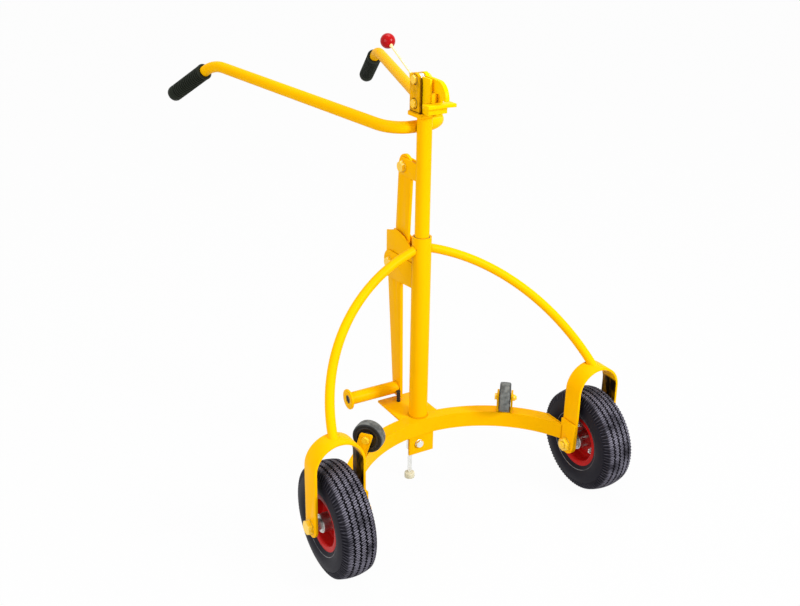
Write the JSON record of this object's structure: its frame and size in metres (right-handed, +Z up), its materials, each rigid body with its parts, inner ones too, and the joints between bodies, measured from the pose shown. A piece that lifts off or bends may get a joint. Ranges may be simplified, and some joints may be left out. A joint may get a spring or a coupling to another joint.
{
  "type": "drum_trolley",
  "caption": "Two-wheeled drum trolley with a curved cradle, guide rollers, foot-lever lift, chime-gripping head and long handlebar.",
  "frame": {"origin": "On the floor, at the axis of the upright drum that the cradle fits round.", "axes": "+Z up; +Y from the drum towards the operator's handlebar; +X to the right of someone who faces the trolley from the drum's side."},
  "size_m": [0.85, 1.206, 1.086],
  "materials": {
    "yellow_paint": "gloss",
    "red_paint": "gloss",
    "zinc_steel": "satin",
    "tyre_rubber": "matte",
    "grey_rubber": "matte",
    "grip_rubber": "matte",
    "black_plastic": "matte",
    "guide_plastic": "matte",
    "pale_plastic": "matte",
    "red_plastic": "gloss"
  },
  "bodies": {
    "frame": {"cradle_arc": "yellow_paint", "cradle_end_caps": "yellow_paint", "gusset_plate": "yellow_paint", "outer_sleeve": "yellow_paint", "upper_guide_bush": "guide_plastic", "left_fork": "yellow_paint", "right_fork": "yellow_paint", "left_stay": "yellow_paint", "right_stay": "yellow_paint", "crank_guards": "yellow_paint", "pivot_cheeks": "yellow_paint", "lever_pivot_bolt": "zinc_steel", "left_roller_bracket": "yellow_paint", "right_roller_bracket": "yellow_paint", "roller_bolts": "zinc_steel", "left_axle": "zinc_steel", "right_axle": "zinc_steel", "axle_spacers": "zinc_steel", "front_plate": "yellow_paint", "parking_leg": "zinc_steel", "leg_bolt": "zinc_steel", "leg_foot": "pale_plastic", "lever_stop": "grey_rubber"},
    "left_wheel": {"left_tyre": "tyre_rubber", "left_rim": "red_paint", "left_hub": "zinc_steel", "left_bearings": "zinc_steel", "left_rim_bolts": "zinc_steel"},
    "right_wheel": {"right_tyre": "tyre_rubber", "right_rim": "red_paint", "right_hub": "zinc_steel", "right_bearings": "zinc_steel", "right_rim_bolts": "zinc_steel"},
    "left_roller": {"left_roller_tread": "grey_rubber", "left_roller_core": "black_plastic"},
    "right_roller": {"right_roller_tread": "grey_rubber", "right_roller_core": "black_plastic"},
    "mast": {"inner_mast": "yellow_paint", "mast_guide": "guide_plastic", "handlebar": "yellow_paint", "left_grip": "grip_rubber", "right_grip": "grip_rubber", "link_ears": "yellow_paint", "link_bolt": "zinc_steel", "head_base": "yellow_paint", "head_sides": "yellow_paint", "head_bolts": "zinc_steel", "head_spacers": "zinc_steel", "beak_spring": "zinc_steel", "jaw_plates": "yellow_paint", "jaw_block": "yellow_paint", "jaw_lip": "yellow_paint"},
    "lever": {"pedal_lever": "yellow_paint", "crank": "yellow_paint", "pedal_tube": "yellow_paint", "pedal_flange": "yellow_paint"},
    "link": {"lift_link": "yellow_paint"},
    "jaw": {"beak": "yellow_paint", "release_rod": "zinc_steel", "ball_knob": "red_plastic"}
  },
  "joints": [
    {"name": "left_wheel_spin", "type": "hinge", "parent": "frame", "child": "left_wheel", "pos_m": [-0.352, 0.107, 0.13], "axis": [1, 0, 0], "continuous": true},
    {"name": "right_wheel_spin", "type": "hinge", "parent": "frame", "child": "right_wheel", "pos_m": [0.352, 0.107, 0.13], "axis": [1, 0, 0], "continuous": true},
    {"name": "left_roller_spin", "type": "hinge", "parent": "frame", "child": "left_roller", "pos_m": [-0.19418, 0.24587, 0.2187], "axis": [0.7848, 0.6198, 0], "continuous": true},
    {"name": "right_roller_spin", "type": "hinge", "parent": "frame", "child": "right_roller", "pos_m": [0.19418, 0.24587, 0.2187], "axis": [0.7848, -0.6198, 0], "continuous": true},
    {"name": "mast_lift", "type": "slide", "parent": "frame", "child": "mast", "axis": [0, 0, 1], "range_m": [-0.057, 0]},
    {"name": "pedal_swing", "type": "hinge", "parent": "frame", "child": "lever", "pos_m": [0, 0.467, 0.545], "axis": [1, 0, 0], "range_deg": [0, 60]},
    {"name": "link_swing", "type": "hinge", "parent": "mast", "child": "link", "pos_m": [0, 0.421, 0.797], "axis": [1, 0, 0], "range_deg": [-9.4, 0]},
    {"name": "beak_release", "type": "hinge", "parent": "mast", "child": "jaw", "pos_m": [0, 0.349, 1.012], "axis": [1, 0, 0], "range_deg": [-35, 0], "stiffness_Nm_per_rad": 1.5, "springref_deg": 8.59}
  ],
  "couplings": [
    {"joint": "pedal_swing", "follows": "mast_lift", "rad_per_m": -18.34},
    {"joint": "link_swing", "follows": "mast_lift", "rad_per_m": 2.858}
  ]
}
